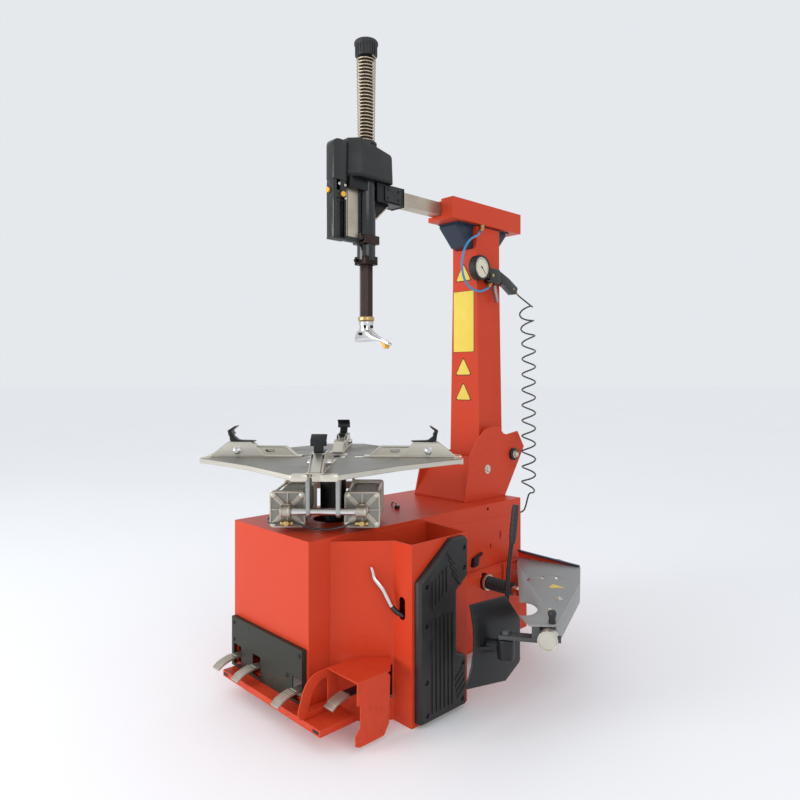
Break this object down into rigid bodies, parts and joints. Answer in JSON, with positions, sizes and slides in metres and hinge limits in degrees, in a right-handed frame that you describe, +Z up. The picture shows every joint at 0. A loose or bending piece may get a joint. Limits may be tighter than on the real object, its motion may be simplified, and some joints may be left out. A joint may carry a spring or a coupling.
{
  "type": "tire changer machine",
  "caption": "Tilt-back tyre changing machine with a clamping turntable, leaning column and sliding tool arm, side bead breaker, foot pedals and an inflation gun.",
  "frame": {"origin": "on the floor, under the axis of the turntable", "axes": "+X to the operator's right, where the bead breaker is; +Y to the rear, where the column is; +Z up"},
  "size_m": [1.0133, 1.1703, 2.0013],
  "materials": {
    "red_paint": "smooth gloss orange-red powder coat",
    "black_paint": "satin black paint",
    "navy_paint": "satin dark blue-black paint",
    "zinc_plate": "bright zinc plating",
    "grey_steel": "machined grey steel",
    "brushed_steel": "plated square bar",
    "cast_aluminium": "raw die casting",
    "chrome": "polished chrome",
    "brass": "turned brass",
    "rubber": "moulded black rubber",
    "black_plastic": "moulded black plastic",
    "yellow_plastic": "moulded yellow plastic",
    "blue_hose": "smooth blue polyurethane tube",
    "cast_iron": "rough casting",
    "spring_wire": "pale plated spring wire"
  },
  "bodies": {
    "root": {"base_frame": "red_paint", "cabinet_shell": "red_paint", "side_sill": "red_paint", "pedal_cover": "black_paint", "side_housing": "red_paint", "wheel_pad": "rubber", "pedal_guard": "red_paint", "column_bracket": "red_paint", "pivot_pin": "zinc_plate", "gearbox": "cast_iron", "electric_motor": "cast_iron", "drive_belt": "rubber", "breaker_cylinder": "grey_steel", "breaker_bracket": "red_paint", "coil_hose_lower": "rubber", "hose_inlet": "brass"},
    "tilt_pedal": {"pedal_tilt": "cast_aluminium"},
    "clamp_pedal": {"pedal_clamp": "cast_aluminium"},
    "turn_pedal": {"pedal_turn": "cast_aluminium"},
    "inflate_pedal": {"pedal_inflate": "black_paint"},
    "loose_lever": {"tyre_lever": "chrome"},
    "turntable": {"table_plate": "grey_steel", "spindle_hub": "black_paint"},
    "front_jaw": {"jaw_slide_front": "zinc_plate", "jaw_claw_front": "black_paint", "cross_shaft": "chrome", "clamp_cylinder_left": "cast_aluminium", "clamp_cylinder_right": "cast_aluminium"},
    "rear_jaw": {"jaw_slide_rear": "zinc_plate", "jaw_claw_rear": "black_paint", "rear_yoke": "zinc_plate"},
    "left_jaw": {"jaw_slide_left": "zinc_plate", "jaw_claw_left": "black_paint"},
    "right_jaw": {"jaw_slide_right": "zinc_plate", "jaw_claw_right": "black_paint"},
    "gearbox_pulley": {"drive_pulley": "cast_iron"},
    "engine_pulley": {"motor_pulley": "cast_iron"},
    "column": {"column_tube": "red_paint", "column_head": "red_paint", "head_gussets": "navy_paint", "hose_fitting": "brass", "air_hose": "blue_hose", "gun_body": "black_plastic", "gun_gauge": "rubber", "coil_hose_upper": "rubber"},
    "trigger": {"gun_trigger": "chrome"},
    "tool_arm": {"arm_bar": "brushed_steel", "head_block": "black_paint", "top_cover": "black_plastic", "control_handle": "black_plastic", "return_spring": "spring_wire"},
    "front_button": {"lock_button_front": "yellow_plastic"},
    "side_button": {"lock_button_side": "yellow_plastic"},
    "tool_shaft": {"hex_shaft": "black_paint", "shaft_cap": "black_plastic", "mount_head": "chrome"},
    "swing_arm": {"breaker_arm": "zinc_plate"},
    "push_rod": {"breaker_rod": "black_paint"},
    "blade_carrier": {"blade": "black_paint", "blade_handle": "rubber"}
  },
  "joints": [
    {"name": "tilt_pedal_press", "type": "hinge", "parent": "root", "child": "tilt_pedal", "pos_m": [-0.147, -0.176, 0.104], "axis": [1, 0, 0], "range_deg": [0, 8], "stiffness_Nm_per_rad": 60, "springref_deg": -1.72},
    {"name": "clamp_pedal_press", "type": "hinge", "parent": "root", "child": "clamp_pedal", "pos_m": [-0.042, -0.176, 0.104], "axis": [1, 0, 0], "range_deg": [0, 8], "stiffness_Nm_per_rad": 60, "springref_deg": -1.72},
    {"name": "turn_pedal_press", "type": "hinge", "parent": "root", "child": "turn_pedal", "pos_m": [0.158, -0.176, 0.104], "axis": [1, 0, 0], "range_deg": [-6, 8], "stiffness_Nm_per_rad": 60},
    {"name": "inflate_pedal_press", "type": "hinge", "parent": "root", "child": "inflate_pedal", "pos_m": [0.278, -0.092, 0.112], "axis": [1, 0, 0], "range_deg": [0, 7], "stiffness_Nm_per_rad": 60, "springref_deg": -1.72},
    {"name": "lever_pull_out", "type": "slide", "parent": "root", "child": "loose_lever", "axis": [0, -1, 0], "range_m": [0, 0.12]},
    {"name": "turntable_spin", "type": "hinge", "parent": "root", "child": "turntable", "pos_m": [0, 0, 0.66], "axis": [0, 0, 1], "continuous": true},
    {"name": "front_jaw_slide", "type": "slide", "parent": "turntable", "child": "front_jaw", "axis": [-0.7071, 0.7071, 0], "range_m": [0, 0.07]},
    {"name": "rear_jaw_slide", "type": "slide", "parent": "turntable", "child": "rear_jaw", "axis": [0.7071, -0.7071, 0], "range_m": [0, 0.07]},
    {"name": "left_jaw_slide", "type": "slide", "parent": "turntable", "child": "left_jaw", "axis": [0.7071, 0.7071, 0], "range_m": [0, 0.07]},
    {"name": "right_jaw_slide", "type": "slide", "parent": "turntable", "child": "right_jaw", "axis": [-0.7071, -0.7071, 0], "range_m": [0, 0.07]},
    {"name": "gearbox_pulley_spin", "type": "hinge", "parent": "root", "child": "gearbox_pulley", "pos_m": [0, 0.156, 0.35], "axis": [0, 1, 0], "continuous": true},
    {"name": "motor_pulley_spin", "type": "hinge", "parent": "root", "child": "engine_pulley", "pos_m": [-0.02, 0.156, 0.16], "axis": [0, 1, 0], "continuous": true},
    {"name": "column_tilt", "type": "hinge", "parent": "root", "child": "column", "pos_m": [0.018, 0.749, 0.645], "axis": [-1, 0, 0], "range_deg": [0, 22]},
    {"name": "trigger_squeeze", "type": "hinge", "parent": "column", "child": "trigger", "pos_m": [0.096, 0.67, 1.267], "axis": [1, 0, 0], "range_deg": [0, 10], "stiffness_Nm_per_rad": 2, "springref_deg": -2.86},
    {"name": "arm_reach", "type": "slide", "parent": "column", "child": "tool_arm", "axis": [0, 1, 0], "range_m": [-0.1, 0.18]},
    {"name": "front_button_press", "type": "slide", "parent": "tool_arm", "child": "front_button", "axis": [0, 1, 0], "range_m": [0, 0.003], "stiffness_N_per_m": 800, "springref_m": -0.001},
    {"name": "side_button_press", "type": "slide", "parent": "tool_arm", "child": "side_button", "axis": [-1, 0, 0], "range_m": [0, 0.003], "stiffness_N_per_m": 800, "springref_m": -0.001},
    {"name": "shaft_height", "type": "slide", "parent": "tool_arm", "child": "tool_shaft", "axis": [0, 0, 1], "range_m": [-0.19, 0], "stiffness_N_per_m": 300, "springref_m": 0.65, "deforming": ["return_spring"]},
    {"name": "breaker_swing", "type": "hinge", "parent": "root", "child": "swing_arm", "pos_m": [0.3, 0.668, 0.25], "axis": [0, 0, 1], "range_deg": [-9, 20]},
    {"name": "push_rod_slide", "type": "slide", "parent": "root", "child": "push_rod", "axis": [1, 0, 0], "range_m": [-0.04, 0.075]},
    {"name": "blade_swivel", "type": "hinge", "parent": "swing_arm", "child": "blade_carrier", "pos_m": [0.56, 0.128, 0.226], "axis": [0, 0, 1], "range_deg": [0, 12]}
  ],
  "couplings": [
    {"joint": "rear_jaw_slide", "follows": "front_jaw_slide", "ratio": 1},
    {"joint": "left_jaw_slide", "follows": "front_jaw_slide", "ratio": 1},
    {"joint": "right_jaw_slide", "follows": "front_jaw_slide", "ratio": 1},
    {"joint": "gearbox_pulley_spin", "follows": "turntable_spin", "ratio": 10},
    {"joint": "motor_pulley_spin", "follows": "turntable_spin", "ratio": 18},
    {"joint": "push_rod_slide", "follows": "breaker_swing", "m_per_rad": 0.198}
  ]
}
